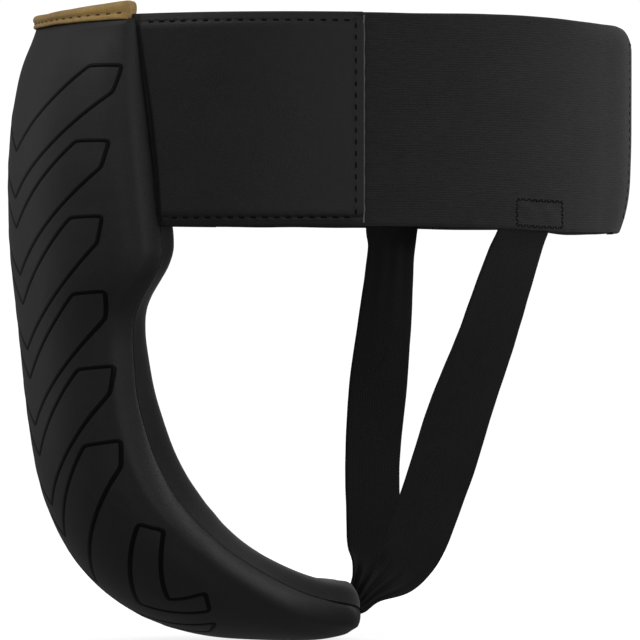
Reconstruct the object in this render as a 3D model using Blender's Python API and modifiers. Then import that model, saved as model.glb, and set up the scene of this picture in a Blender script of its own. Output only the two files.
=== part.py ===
"""Groin protector: padded front shield on a waist belt with two leg straps.

Lengths are in millimetres here and become metres when a mesh is made.
+Z is up, the wearer faces -Y and the wearer's left is +X.
The origin is the middle of the belt loop at the middle of the belt's height.
"""

import math

import bmesh
import bpy
import numpy as np

MM = 0.001
CLEAR = 0.3          # gap between neighbouring pieces

# Belt loop, measured to the middle of its thickness
LOOP_HALF_WIDTH = 110.0
LOOP_FRONT = 144.0
LOOP_REAR = 149.5
BELT_HEIGHT = 102.0
WING_REAR_T = 80.0       # angle round the loop where the leather ends
FOAM_REAR_T = 74.4
ELASTIC_FRONT_T = 75.2
ELASTIC_THICK = 1.8
WING_LEATHER = 1.6
WING_FOAM = 2.1
WING_LINING = 1.3
WING_OUTER = 2.8         # outer face of the wing leather

# Closure at the rear: the left end lies over the right end
LAP_FROM_T = 149.0
LAP_TO_T = 177.2
LAP_SHIFT = 2.35
PATCH_THICK = 1.1

# Leg straps
STRAP_T = 115.0
STRAP_WIDTH = 30.0
STRAP_THICK = 1.5
STRAP_TOP_Z = -58.4

# Pad
PAD_LEATHER = 1.6
LINING_THICK = 1.2
CUSHION = 12.0
DIP = 11.0               # how far the back dips into the cup
LAYER_GAP = 2.2          # half of the space between the cushion and the front half
PANEL_HALF = 1.5
CUP_WALL = 3.0
SIDE_WALL = 4.6          # height of the cover's side wall
TRIM_WALL = 1.2
TRIM_DROP = 4.6
THREAD = 0.35            # thread radius

# Parting line of the pad at its middle, from the top edge to the tail (y, z)
PARTING = ((-144.3, 56), (-144.6, 40), (-146, 15), (-146.6, -15), (-145.6, -50),
           (-141.5, -95), (-137, -135), (-131.5, -166), (-121, -195),
           (-103, -217.5), (-77, -231.5), (-46, -238), (-15, -240), (9, -239.5))
# Along the parting line: distance from the top, then the value there
HALF_WIDTH = ((0, 60), (27, 64.5), (55, 69.5), (82, 72.8), (110, 74.8), (126, 74.6),
              (137, 67), (147, 58), (160, 54), (190, 52.3), (220, 52.5), (260, 55),
              (289, 54), (303, 51), (316, 47.5), (330, 42.5), (344, 36.5),
              (358, 30.5), (371, 26.5), (385, 23.5), (399, 21))
BOWL_RADIUS = ((0, 86), (110, 86), (190, 84), (232, 64), (273, 50), (330, 42),
               (370, 44), (399, 56))
FRONT_THICK = ((0, 5.5), (10, 5.6), (20, 9.5), (30, 12.5), (55, 16), (80, 18.2),
               (105, 19.6), (160, 21), (230, 21.5), (270, 20), (310, 17),
               (350, 14), (380, 11.5), (399, 7.5))
BACK_THICK = ((0, 5.2), (12, 5.2), (20, 9), (32, 11.5), (44, 12), (370, 12),
              (388, 10), (399, 7))
STATIONS = (0, 8, 19, 34, 55, 80, 105, 121, 130, 138, 147, 160, 182, 207, 230,
            250, 267, 283, 299, 315, 331, 349, 367, 384, 397)
ACROSS = 10

CASTS = {
    "leather": ((0.012, 0.012, 0.013), 0.42),
    "lining": ((0.03, 0.03, 0.032), 0.75),
    "foam": ((0.16, 0.16, 0.17), 0.9),
    "plastic": ((0.7, 0.7, 0.68), 0.35),
    "panel": ((0.05, 0.05, 0.055), 0.85),
    "elastic": ((0.022, 0.022, 0.024), 0.8),
    "thread": ((0.01, 0.01, 0.01), 0.6),
    "trim": ((0.42, 0.27, 0.11), 0.5),
    "hook": ((0.02, 0.02, 0.02), 0.9),
}


# ---------------------------------------------------------------- scene
def clear_scene():
    for thing in list(bpy.data.objects):
        bpy.data.objects.remove(thing, do_unlink=True)


def new_collection(name):
    group = bpy.data.collections.new(name)
    bpy.context.scene.collection.children.link(group)
    return group


clear_scene()
PART = new_collection("groin_protector")
CUTTERS = new_collection("cutters")


def material(name, cast):
    colour, rough = CASTS[cast]
    made = bpy.data.materials.new(name + "_material")
    made.use_nodes = True
    shader = made.node_tree.nodes["Principled BSDF"]
    shader.inputs["Base Color"].default_value = (*colour, 1.0)
    shader.inputs["Roughness"].default_value = rough
    return made


def mesh_object(name, points, faces, cast=None):
    """A mesh from millimetre points; without a cast it is a cutter."""
    mesh = bpy.data.meshes.new(name)
    mesh.from_pydata([[c * MM for c in p] for p in points], [], faces)
    made = bmesh.new()
    made.from_mesh(mesh)
    bmesh.ops.recalc_face_normals(made, faces=made.faces)
    made.to_mesh(mesh)
    made.free()
    thing = bpy.data.objects.new(name, mesh)
    if cast is None:
        CUTTERS.objects.link(thing)
        thing.hide_render = True
        thing.display_type = "WIRE"
    else:
        PART.objects.link(thing)
        mesh.materials.append(material(name, cast))
    return thing


def bevel(thing, width, segments=2, angle=40.0):
    step = thing.modifiers.new("rounded_edges", "BEVEL")
    step.width = width * MM
    step.segments = segments
    step.limit_method = "ANGLE"
    step.angle_limit = math.radians(angle)
    step.use_clamp_overlap = True


def cut(thing, cutter):
    step = thing.modifiers.new("cut_" + cutter.name, "BOOLEAN")
    step.operation = "DIFFERENCE"
    step.solver = "EXACT"
    step.object = cutter


# ---------------------------------------------------------------- curves
def spline(knots):
    """Natural cubic through (x, value) pairs."""
    x = np.array([k[0] for k in knots], float)
    y = np.array([k[1] for k in knots], float)
    n, h = len(x), np.diff(x)
    left, right = np.eye(n), np.zeros(n)
    for i in range(1, n - 1):
        left[i, i - 1:i + 2] = h[i - 1], 2 * (h[i - 1] + h[i]), h[i]
        right[i] = 6 * ((y[i + 1] - y[i]) / h[i] - (y[i] - y[i - 1]) / h[i - 1])
    bend = np.linalg.solve(left, right)

    def value(at):
        i = int(np.clip(np.searchsorted(x, at) - 1, 0, n - 2))
        a, b = (x[i + 1] - at) / h[i], (at - x[i]) / h[i]
        curve = (a ** 3 - a) * bend[i] + (b ** 3 - b) * bend[i + 1]
        return a * y[i] + b * y[i + 1] + curve * h[i] ** 2 / 6

    return value


def smooth(knots):
    """Linear between (x, value) pairs, eased over a few millimetres."""
    x, y = [k[0] for k in knots], [k[1] for k in knots]
    return lambda at: float(np.mean(np.interp(np.linspace(at - 6, at + 6, 7), x, y)))


def along(points):
    steps = np.hypot(*np.diff(np.array(points, float), axis=0).T)
    return np.concatenate([[0], np.cumsum(steps)])


ARC = along(PARTING)
PAD_LENGTH = float(ARC[-1])
PARTING_Y = spline(list(zip(ARC, [p[0] for p in PARTING])))
PARTING_Z = spline(list(zip(ARC, [p[1] for p in PARTING])))
half_width = smooth(HALF_WIDTH)
bowl_radius = smooth(BOWL_RADIUS)
front_thick = smooth(FRONT_THICK)
back_thick = smooth(BACK_THICK)


def ease(x):
    x = min(max(x, 0.0), 1.0)
    return x * x * (3 - 2 * x)


# ---------------------------------------------------------------- pad shape
def pad_point(s, v, depth):
    """A point s down the pad, v across it and depth out of the parting surface."""
    y, z = PARTING_Y(s), PARTING_Z(s)
    ty = (PARTING_Y(s + 0.5) - PARTING_Y(s - 0.5))
    tz = (PARTING_Z(s + 0.5) - PARTING_Z(s - 0.5))
    size = math.hypot(ty, tz)
    ny, nz = -tz / size, ty / size
    radius = bowl_radius(s)
    turn = v / radius
    back = radius - (radius + depth) * math.cos(turn)
    crown = 3.0 * ((v / 60.0) ** 2 - 0.6) * ease(1 - s / 60.0)
    x = (radius + depth) * math.sin(turn)
    return (x, y + ny * back, z + nz * back + crown)


def dip_shape(s, v):
    """1 in the middle of the cup, 0 outside it."""
    rise = ease((s - 122) / 55.0) * ease((322 - s) / 60.0)
    return rise * (1 - min(abs(v) / 37.0, 1.0) ** 2) ** 2


def back_depth(s, v):
    return -back_thick(s) + DIP * dip_shape(s, v)


def layer_depth(s, v):
    return 5.8 * dip_shape(s, v)


def front_depth(s, v, inset=0.0):
    width = half_width(s)
    middle = front_thick(s)
    side = min(SIDE_WALL, middle - 0.8)
    share = (1 - min(abs(v) / width, 1.0) ** 2.6) ** 0.8
    return side + (middle - side) * share - inset


def block(name, stations, width, inner, outer, cast=None, across=ACROSS):
    """A closed body between two depths of the pad, loft station by station."""
    turns = [math.sin(math.pi / 2 * (2 * j / across - 1)) for j in range(across + 1)]
    points, row = [], across + 1
    for depth in (outer, inner):
        for s in stations:
            reach = width(s)
            points += [pad_point(s, t * reach, depth(s, t * reach)) for t in turns]
    count = len(stations)
    half = count * row
    faces = []
    for i in range(count - 1):
        for j in range(across):
            a = i * row + j
            faces.append((a, a + 1, a + row + 1, a + row))
            faces.append((half + a, half + a + row, half + a + row + 1, half + a + 1))
    for i in range(count - 1):
        for a in (i * row, i * row + across):
            faces.append((a, a + row, half + a + row, half + a))
    for j in range(across):
        for a in (j, (count - 1) * row + j):
            faces.append((a, half + a, half + a + 1, a + 1))
    return mesh_object(name, points, faces, cast)


def spaced(first, last, inside=STATIONS):
    return [first] + [s for s in inside if first + 3 < s < last - 3] + [last]


# ---------------------------------------------------------------- pad pieces
def front_cover():
    skin = block("front_cover", STATIONS, half_width, lambda s, v: 0.2,
                 front_depth, "leather")
    bevel(skin, 2.4)
    hollow = block("cover_hollow", spaced(1.6, STATIONS[-1] - 1.6),
                   lambda s: half_width(s) - PAD_LEATHER, lambda s, v: -3.0,
                   lambda s, v: front_depth(s, v, PAD_LEATHER))
    cut(skin, hollow)


def impact_foam():
    foam = block("impact_foam", spaced(2.0, STATIONS[-1] - 2.0),
                 lambda s: half_width(s) - 6.0,
                 lambda s, v: layer_depth(s, v) + LAYER_GAP,
                 lambda s, v: front_depth(s, v, PAD_LEATHER + 1.4), "foam")
    room = block("cup_room", cup_stations(CLEAR),
                 lambda s: cup_width(s) + 2 * CLEAR, lambda s, v: -4.0,
                 lambda s, v: layer_depth(s, v) + LAYER_GAP + CUP_WALL + 3 * CLEAR)
    cut(foam, room)


def cup_width(s):
    middle, reach = 222.0, 92.0
    share = min(abs(s - middle) / reach, 1.0)
    return 18.0 + 24.0 * (1 - share ** 2.5) ** 0.5


def cup_stations(grow=0.0):
    return [130 - grow, 134, 138, 147, 160, 182, 207, 230, 250, 267, 283, 299,
            308, 314 + grow]


def cup_shell():
    cup = block("cup_shell", cup_stations(), cup_width,
                lambda s, v: layer_depth(s, v) + LAYER_GAP,
                lambda s, v: layer_depth(s, v) + LAYER_GAP + CUP_WALL, "plastic")
    bevel(cup, 0.8, 1)


def panel_width(s):
    return float(np.interp(s, (0, 55, 110, 137, 160, 290, 330, 376),
                           (40, 49, 53, 50, 46, 46, 35, 20)))


def backing_panel():
    block("backing_panel", spaced(2.4, 367), panel_width,
          lambda s, v: layer_depth(s, v) - PANEL_HALF,
          lambda s, v: layer_depth(s, v) + PANEL_HALF, "panel")


def cushion_foam():
    block("cushion_foam", spaced(2.0, STATIONS[-1] - 2.0),
          lambda s: half_width(s) - LINING_THICK - 3 * CLEAR,
          lambda s, v: back_depth(s, v) + LINING_THICK + 3 * CLEAR,
          lambda s, v: layer_depth(s, v) - LAYER_GAP, "foam")


def back_lining():
    skin = block("back_lining", STATIONS, half_width, back_depth,
                 lambda s, v: -0.2, "lining")
    bevel(skin, 2.6)
    hollow = block("lining_hollow", spaced(1.3, STATIONS[-1] - 1.3),
                   lambda s: half_width(s) - LINING_THICK,
                   lambda s, v: back_depth(s, v) + LINING_THICK,
                   lambda s, v: 9.0)
    cut(skin, hollow)


def top_trim():
    rows = (-2.2, 0.4, TRIM_DROP)
    bar = block("top_trim", rows, lambda s: half_width(0) + 1.8,
                lambda s, v: -7.4, lambda s, v: 7.4, "trim", across=20)
    bevel(bar, 1.6)
    room = block("trim_room", (-0.5, 4.0, TRIM_DROP + 4), lambda s: half_width(s) + 0.5,
                 lambda s, v: -7.4 + TRIM_WALL, lambda s, v: 7.4 - TRIM_WALL, across=20)
    cut(bar, room)


def wing_root(name, side):
    def width_line(s, share):
        return side * (half_width(s) - 2.2 - 15.0 * (1 - share))

    tall, wide = (8, 30, 55, 80, 104), (0, 0.5, 1)
    points = []
    for depth in (1.5, -1.5):
        for s in tall:
            points += [pad_point(s, width_line(s, w), depth) for w in wide]
    mesh_object(name, points, box_faces(len(tall), len(wide)), "leather")


def strap_root(name, side, low):
    """The sewn end of a leg strap, between the cushion and the front half."""
    down = (372, 384, STATIONS[-1] - 2.2)
    wide = [side * (-9 + 6.0 * k) for k in range(5)]
    points = []
    for depth in (low + STRAP_THICK, low):
        for s in down:
            room = half_width(s) - 2.4
            points += [pad_point(s, max(-room, min(room, w)), depth) for w in wide]
    mesh_object(name, points, box_faces(len(down), len(wide)), "elastic")


# ---------------------------------------------------------------- belt
def box_faces(rows, columns):
    """Faces of a closed box made of two grids, the outer one first."""
    half, faces = rows * columns, []
    for i in range(rows - 1):
        for j in range(columns - 1):
            a = i * columns + j
            faces.append((a, a + 1, a + columns + 1, a + columns))
            b = half + a
            faces.append((b, b + columns, b + columns + 1, b + 1))
    for i in range(rows - 1):
        for a in (i * columns, i * columns + columns - 1):
            faces.append((a, a + columns, half + a + columns, half + a))
    for j in range(columns - 1):
        for a in (j, (rows - 1) * columns + j):
            faces.append((a, half + a, half + a + 1, a + 1))
    return faces


def loop_point(side, t, out, z):
    """A point on the belt loop, t degrees round from the front."""
    a = math.radians(t)
    deep = LOOP_FRONT if math.cos(a) > 0 else LOOP_REAR
    x, y = LOOP_HALF_WIDTH * math.sin(a), -deep * math.cos(a)
    nx, ny = x / LOOP_HALF_WIDTH ** 2, y / deep ** 2
    size = math.hypot(nx, ny)
    return (side * (x + out * nx / size), y + out * ny / size, z)


def strip(name, side, first, last, shift, thick, low, high, cast, step=5.0, rows=2):
    """A strip of the belt: its middle surface, given its thickness by Solidify.

    first, last and shift may depend on the height or the angle."""
    columns = max(2, int(round((last(0) - first(0)) / step))) + 1
    heights = [high + (low - high) * i / rows for i in range(rows + 1)]
    points, faces = [], []
    for z in heights:
        for t in np.linspace(first(z), last(z), columns):
            points.append(loop_point(side, t, shift(t), z))
    for i in range(len(heights) - 1):
        for j in range(columns - 1):
            a = i * columns + j
            faces.append((a, a + 1, a + columns + 1, a + columns))
    thing = mesh_object(name, points, faces, cast)
    body = thing.modifiers.new("thickness", "SOLIDIFY")
    body.thickness = thick * MM
    body.offset = 0.0
    body.use_even_offset = True
    return thing


def fixed(value):
    return lambda at: value


def wing_front(back=0.0):
    """Front edge of the wing beside the pad's slanting edge, as an angle."""
    def edge(z):
        s = 56.0 - z
        radius = bowl_radius(s)
        reach = radius * math.sin((half_width(s) + 1.1 + back) / radius)
        return math.degrees(math.asin(reach / LOOP_HALF_WIDTH))

    return edge


def wing(word, side):
    high = BELT_HEIGHT / 2
    cover = strip(f"wing_{word}_cover", side, wing_front(), fixed(WING_REAR_T),
                  fixed(WING_OUTER - WING_LEATHER / 2), WING_LEATHER, -high, high,
                  "leather", 4.0, 5)
    bevel(cover, 0.6, 1)
    strip(f"wing_{word}_foam", side, wing_front(1.0), fixed(FOAM_REAR_T), fixed(-0.15),
          WING_FOAM, 2.2 - high, high - 2.2, "foam", rows=5)
    strip(f"wing_{word}_lining", side, wing_front(), fixed(WING_REAR_T - 0.4),
          fixed(-1.5 - WING_LINING / 2), WING_LINING, 0.6 - high, high - 0.6, "lining",
          rows=5)
    wing_thread(word, side)


def wing_thread(word, side):
    """Stitch line along the top, rear and bottom edges of the wing."""
    edge, inset = wing_front(4.0), BELT_HEIGHT / 2 - 4.2
    out, rear = WING_OUTER + 0.15 + THREAD, WING_REAR_T - 2.2
    path = [loop_point(side, t, out, inset) for t in np.linspace(edge(inset), rear, 15)]
    path += [loop_point(side, t, out, -inset) for t in np.linspace(rear, edge(-inset), 15)]
    thread(f"wing_{word}_thread", path, False)


def thread(name, path, closed):
    curve = bpy.data.curves.new(name, "CURVE")
    curve.dimensions = "3D"
    curve.bevel_depth = THREAD * MM
    curve.bevel_resolution = 0
    curve.use_fill_caps = True
    line = curve.splines.new("POLY")
    line.points.add(len(path) - 1)
    for point, where in zip(line.points, path):
        point.co = (*[c * MM for c in where], 1.0)
    line.use_cyclic_u = closed
    thing = bpy.data.objects.new(name, curve)
    PART.objects.link(thing)
    curve.materials.append(material(name, "thread"))


def box_stitch(word, side):
    """Rectangle of stitches that holds the leg strap to the elastic."""
    out = ELASTIC_THICK / 2 + 0.15 + THREAD
    reach = math.degrees(12.5 / 138.0)
    low, high = -49.0, -36.5
    path = [loop_point(side, t, out, high)
            for t in np.linspace(STRAP_T - reach, STRAP_T + reach, 5)]
    path += [loop_point(side, t, out, low)
             for t in np.linspace(STRAP_T + reach, STRAP_T - reach, 5)]
    thread(f"box_stitch_{word}", path, True)


def left_shift(t):
    return LAP_SHIFT * ease((t - 136.0) / 12.0)


def right_shift(t):
    return -LAP_SHIFT * ease((t - 152.0) / 16.0)


def elastic_left():
    strip("elastic_left", 1, fixed(ELASTIC_FRONT_T), fixed(LAP_FROM_T - 0.25),
          left_shift, ELASTIC_THICK, -50.8, 50.8, "elastic", 4.6)


def elastic_right():
    strip("elastic_right", -1, fixed(ELASTIC_FRONT_T), fixed(360 - LAP_FROM_T - 1.0),
          right_shift, ELASTIC_THICK, -50.8, 50.8, "elastic", 4.6)


def strap_end(word, side):
    reach = math.degrees(STRAP_WIDTH / 2 / 138.0)
    middle = -ELASTIC_THICK / 2 - 0.25 - STRAP_THICK / 2
    strip(f"strap_end_{word}", side, fixed(STRAP_T - reach), fixed(STRAP_T + reach),
          fixed(middle), STRAP_THICK, STRAP_TOP_Z + 0.5, -30.0, "elastic", 3.2)


def closure():
    """The end of the left elastic that peels off the right one, and its patches."""
    strip("closure_tab_elastic", 1, fixed(LAP_FROM_T + 0.25), fixed(LAP_TO_T),
          fixed(LAP_SHIFT), ELASTIC_THICK, -50.8, 50.8, "elastic", 4.0)
    under = ELASTIC_THICK / 2 + 0.25 + PATCH_THICK / 2
    strip("hook_patch", 1, fixed(LAP_FROM_T + 3.5), fixed(LAP_TO_T - 3.2),
          fixed(LAP_SHIFT - under), PATCH_THICK, -45.0, 45.0, "hook", 4.0)
    strip("loop_patch", -1, fixed(362 - LAP_TO_T + 1.6), fixed(360 - LAP_FROM_T - 3.2),
          fixed(under - LAP_SHIFT), PATCH_THICK, -46.0, 46.0, "hook", 4.0)
    end = strip("tab_end_binding", 1, fixed(LAP_TO_T - 2.4), fixed(LAP_TO_T + 0.8),
                fixed(LAP_SHIFT), ELASTIC_THICK + 2.4, -51.6, 51.6, "leather", 1.1)
    room = strip("binding_room", 1, fixed(LAP_TO_T - 5.0), fixed(LAP_TO_T + 0.15),
                 fixed(LAP_SHIFT), ELASTIC_THICK + 0.5, -51.0, 51.0, None, 1.1)
    cut(end, room)


# ---------------------------------------------------------------- leg straps
STRAP_PATH = ((97.0, 61.6, STRAP_TOP_Z), (80.5, 51.0, -90.0), (61.5, 42.5, -127.0),
              (43.0, 34.5, -172.0), (28.5, 31.5, -204.0), (19.0, 25.5, -226.0),
              (9.5, 10.0, -238.2))
# Direction of the strap's width in plan, from its top to its sewn end
STRAP_TWIST = ((0, 109), (0.3, 96), (0.62, 72), (0.86, 34), (1, 0))


def leg_strap(word, side, drop):
    ends = np.array(STRAP_PATH, float)
    ends[-2:, 2] += drop
    gone = np.concatenate([[0], np.cumsum(np.linalg.norm(np.diff(ends, axis=0), axis=1))])
    axes = [spline(list(zip(gone, ends[:, k]))) for k in range(3)]
    count, columns = 17, 5
    points, faces = [], []
    for i in range(count):
        s = gone[-1] * i / (count - 1)
        here = np.array([axis(s) for axis in axes])
        way = np.array([axis(s + 0.5) - axis(s - 0.5) for axis in axes])
        way /= np.linalg.norm(way)
        turn = math.radians(np.interp(s / gone[-1], *zip(*STRAP_TWIST)))
        across = np.array([math.cos(turn), math.sin(turn), 0.0])
        if i in (0, count - 1):
            way = np.array([0.0, 0.0, -1.0]) if i == 0 else np.array([0.0, -1.0, 0.0])
        across -= way * across.dot(way)
        across /= np.linalg.norm(across)
        for j in range(columns):
            width = STRAP_WIDTH - 6.0 * ease(s / 25.0 - gone[-1] / 25.0 + 1)
            x, y, z = here + across * width * (j / (columns - 1) - 0.5)
            points.append((side * x, y, z))
    for i in range(count - 1):
        for j in range(columns - 1):
            a = i * columns + j
            faces.append((a, a + 1, a + columns + 1, a + columns))
    thing = mesh_object(f"leg_strap_{word}", points, faces, "elastic")
    body = thing.modifiers.new("thickness", "SOLIDIFY")
    body.thickness = STRAP_THICK * MM
    body.offset = 0.0
    body.use_even_offset = True


def top_trim_thread():
    reach = half_width(0) - 1.0
    path = [pad_point(2.7, v, 7.4 + 0.15 + THREAD) for v in np.linspace(-reach, reach, 25)]
    thread("top_trim_thread", path, False)


# ---------------------------------------------------------------- assembly
front_cover()
impact_foam()
cup_shell()
backing_panel()
cushion_foam()
back_lining()
top_trim()
top_trim_thread()
elastic_left()
elastic_right()
closure()
for word, side in (("left", 1), ("right", -1)):
    wing_root(f"wing_root_{word}", side)
    strap_root(f"strap_root_{word}", side, 0.2 if side < 0 else -STRAP_THICK - 0.2)
    wing(word, side)
    strap_end(word, side)
    box_stitch(word, side)
    leg_strap(word, side, -1.6 if side < 0 else 1.6)
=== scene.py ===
"""Looks of the groin protector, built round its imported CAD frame.

Shapes are worked out in millimetres and become metres when a mesh is made.
+Z is up, the wearer faces -Y and the wearer's left is +X.
"""

import math

import bmesh
import bpy
import numpy as np
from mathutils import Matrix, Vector


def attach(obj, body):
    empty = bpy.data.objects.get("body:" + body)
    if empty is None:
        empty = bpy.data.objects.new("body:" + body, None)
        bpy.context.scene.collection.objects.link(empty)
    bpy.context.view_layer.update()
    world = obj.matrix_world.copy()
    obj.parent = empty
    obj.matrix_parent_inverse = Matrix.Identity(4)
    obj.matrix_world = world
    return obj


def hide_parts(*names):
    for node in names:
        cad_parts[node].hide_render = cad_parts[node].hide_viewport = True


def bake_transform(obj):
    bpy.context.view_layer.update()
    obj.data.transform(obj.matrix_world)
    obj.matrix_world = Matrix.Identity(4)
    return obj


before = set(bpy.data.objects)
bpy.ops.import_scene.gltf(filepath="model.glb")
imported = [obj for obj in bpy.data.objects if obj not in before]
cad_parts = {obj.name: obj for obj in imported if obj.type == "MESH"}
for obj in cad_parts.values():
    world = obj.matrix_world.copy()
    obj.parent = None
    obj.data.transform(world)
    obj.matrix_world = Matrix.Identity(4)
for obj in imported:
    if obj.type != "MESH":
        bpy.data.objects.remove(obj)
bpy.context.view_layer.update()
MM = 0.001
TURN = 2 * math.pi

# ---------- measures
# They are the CAD's own, but the pad ends 1.2 mm later, the straps spread 2 mm wider and the
# wings' leather ends 3 mm earlier. Names in _T are degrees round the loop from the front.
LOOP_HALF_WIDTH, LOOP_FRONT, LOOP_REAR = 110, 144, 149.5
BELT_HALF = 51
ELASTIC_HALF = 50.8
WING_REAR_T, REAR_STITCH_T = 78.7, 77.2
ELASTIC_FRONT_T = 75.2
ELASTIC_THICK = 1.8
WING_OUT = 2.75
LAP_FROM_T, LAP_TO_T = 149, 177.2
UNDER_FROM_T, UNDER_TO_T = 362 - LAP_TO_T, 360 - LAP_FROM_T
LAP_SHIFT = 2.35
PATCH_THICK, PATCH_HALF = 1.1, 44.4
PATCH_FACE = ELASTIC_THICK / 2 + 0.25 + PATCH_THICK
STRAP_T = 115
STRAP_WIDTH, STRAP_THICK = 32, 1.5
PAD_END = 398.2
PARTING = ((-144.3, 56), (-144.6, 40), (-146, 15), (-146.6, -15), (-145.6, -50),
           (-141.5, -95), (-137, -135), (-131.5, -166), (-121, -195),
           (-103, -217.5), (-77, -231.5), (-46, -238), (-15, -240), (9, -239.5))
HALF_WIDTH = ((0, 60), (27, 64.5), (55, 69.5), (82, 72.8), (110, 74.8), (126, 74.6),
              (137, 67), (147, 58), (160, 54), (190, 52.3), (220, 52.5), (260, 55),
              (289, 54), (303, 51), (316, 47.5), (330, 42.5), (344, 36.5),
              (358, 30.5), (371, 26.5), (385, 23.5), (399, 21))
BOWL_RADIUS = ((0, 86), (110, 86), (190, 84), (232, 64), (273, 50), (330, 42),
               (370, 44), (399, 56))
FRONT_THICK = ((0, 5.5), (10, 5.6), (20, 9.5), (30, 12.5), (55, 16), (80, 18.2),
               (105, 19.6), (160, 21), (230, 21.5), (270, 20), (310, 17),
               (350, 14), (380, 11.5), (399, 7.5))
BACK_THICK = ((0, 5.2), (12, 5.2), (20, 9), (32, 11.5), (44, 12), (370, 12),
              (388, 10), (399, 7))
# Where a strap comes out below the belt, and its lean behind the belt: degrees, degrees per mm.
STRAP_LEAVES = {1: (112.3, 0.086), -1: (114.9, 0.102)}
# A strap's middle line below the belt, with its width and the way its width faces:
# across, back, up, width, degrees from straight across.
STRAP_ROUTE = {
    1: ((93.5, 56.8, -58, 32, 106), (82.5, 51.2, -86, 32, 98), (72, 48, -107, 32, 92),
        (63, 44, -126, 32, 84), (54.5, 40.3, -145, 32, 76), (46.5, 37.3, -164, 32, 72),
        (33.5, 33, -190, 31, 70), (25, 28.4, -210, 29, 70), (18.5, 23.6, -220, 25, 68),
        (14.5, 15.4, -227.4, 14, 66), (12.5, 10.8, -231.8, 9, 58), (11, 8.2, -235.6, 8, 42),
        (9.5, 5, -238.4, 8, 20), (8.5, -2, -239.2, 8, 4), (8, -9, -239.4, 8, 4)),
    -1: ((94, 63, -58, 27, 80), (83, 56.4, -86, 29, 82), (72.5, 50.1, -107, 30.5, 83),
         (62.5, 43.9, -128, 32, 84), (53.3, 38.4, -148, 32, 80), (44.5, 33.9, -168, 32, 76),
         (34.5, 30.4, -188, 32, 76), (25.5, 27.6, -208, 32, 76), (19, 24, -219, 29, 74),
         (15, 17.5, -227, 19, 70), (12.5, 12.5, -232, 12, 60), (11, 8.8, -235.8, 8, 42),
         (9.5, 5, -238.4, 8, 20), (8.5, -2, -239.2, 8, 4), (8, -9, -239.4, 8, 4))}
# The pad's binding: half its length, and how far it is set down from the parting's start.
BIND_HALF, BIND_DOWN = 58.8, 2.4
# How far in from an edge the stitches run, and how far it is from one to the next.
STITCH_IN, STITCH_PITCH = 4.2, 5.5
# How far in from the pad's outline its seam and the channel in its back run.
SEAM_IN, CHANNEL_IN = 1.3, 11.5
# Millimetres round the loop in a degree, by the wings.
DEGREE = 2.42


# ---------- curves
def spline(knots):
    """Natural cubic through (x, value) pairs."""
    x, y = np.array(knots, float).T
    n, h = len(x), np.diff(x)
    left, right = np.eye(n), np.zeros(n)
    for i in range(1, n - 1):
        left[i, i - 1:i + 2] = h[i - 1], 2 * (h[i - 1] + h[i]), h[i]
        right[i] = 6 * ((y[i + 1] - y[i]) / h[i] - (y[i] - y[i - 1]) / h[i - 1])
    bend = np.linalg.solve(left, right)

    def value(at):
        at = np.asarray(at, float)
        i = np.clip(np.searchsorted(x, at) - 1, 0, n - 2)
        a, b = (x[i + 1] - at) / h[i], (at - x[i]) / h[i]
        curve = (a ** 3 - a) * bend[i] + (b ** 3 - b) * bend[i + 1]
        return a * y[i] + b * y[i + 1] + curve * h[i] ** 2 / 6

    return value


def smooth(knots):
    """Linear between (x, value) pairs, eased over a few millimetres."""
    x, y = np.array(knots, float).T
    return lambda at: np.mean(
        [np.interp(np.asarray(at, float) + k, x, y) for k in np.linspace(-6, 6, 7)], axis=0)


def ease(x):
    x = np.clip(x, 0.0, 1.0)
    return x * x * (3 - 2 * x)


def bell(x, middle, wide):
    return np.exp(-((x - middle) / wide) ** 2)


def arc_of(points):
    points = np.array(points, float)
    return np.concatenate([[0], np.cumsum(np.linalg.norm(np.diff(points, axis=0), axis=1))])


def along(line, at, gone=None):
    """Points at those distances along a line, or along its arc lengths if they are given."""
    gone = arc_of(line) if gone is None else gone
    return np.stack([np.interp(at, gone, k) for k in line.T], -1)


def unit(vectors):
    return vectors / np.linalg.norm(vectors, axis=-1, keepdims=True)


ARC = arc_of(PARTING)
PARTING_Y = spline(list(zip(ARC, [p[0] for p in PARTING])))
PARTING_Z = spline(list(zip(ARC, [p[1] for p in PARTING])))
half_width, bowl_radius = smooth(HALF_WIDTH), smooth(BOWL_RADIUS)
front_thick, back_thick = smooth(FRONT_THICK), smooth(BACK_THICK)


def wave_noise(*coords, seed=0, waves=5, length=30.0):
    """Smooth made-up unevenness from -1 to 1: a few sine waves of about that length."""
    made = np.random.default_rng(seed)
    total = 0.0
    for _ in range(waves):
        way = made.normal(size=len(coords))
        way /= np.linalg.norm(way)
        pace = TURN / (length * made.uniform(0.6, 1.6))
        total = total + np.sin(sum(c * w for c, w in zip(coords, way)) * pace
                               + made.uniform(0, 6.28))
    return total / waves


# ---------- pad shape
def pad_map(s, v, depth):
    """Points s down the pad, v across it and depth out of its parting surface."""
    s, v, depth = np.broadcast_arrays(*(np.asarray(k, float) for k in (s, v, depth)))
    ty = PARTING_Y(s + 0.5) - PARTING_Y(s - 0.5)
    tz = PARTING_Z(s + 0.5) - PARTING_Z(s - 0.5)
    size = np.hypot(ty, tz)
    ny, nz = -tz / size, ty / size
    radius = bowl_radius(s)
    turn = v / radius
    back = radius - (radius + depth) * np.cos(turn)
    crown = (4.0 * np.abs(v / 60.0) ** 1.6 - 2.6) * ease(1 - s / 60.0)
    return np.stack([(radius + depth) * np.sin(turn), PARTING_Y(s) + ny * back,
                     PARTING_Z(s) + nz * back + crown], -1)


TAIL_ROUND, TOP_TUCK = 17.0, 4.4


def outline(s):
    """Half width of the pad, with its tail rounded off."""
    q = np.clip((s - (PAD_END - TAIL_ROUND)) / TAIL_ROUND, 0, 0.995)
    return (half_width(s) - TOP_TUCK * ease((9.5 - s) / 3.0)) * np.sqrt(1 - q ** 3.0)


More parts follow.
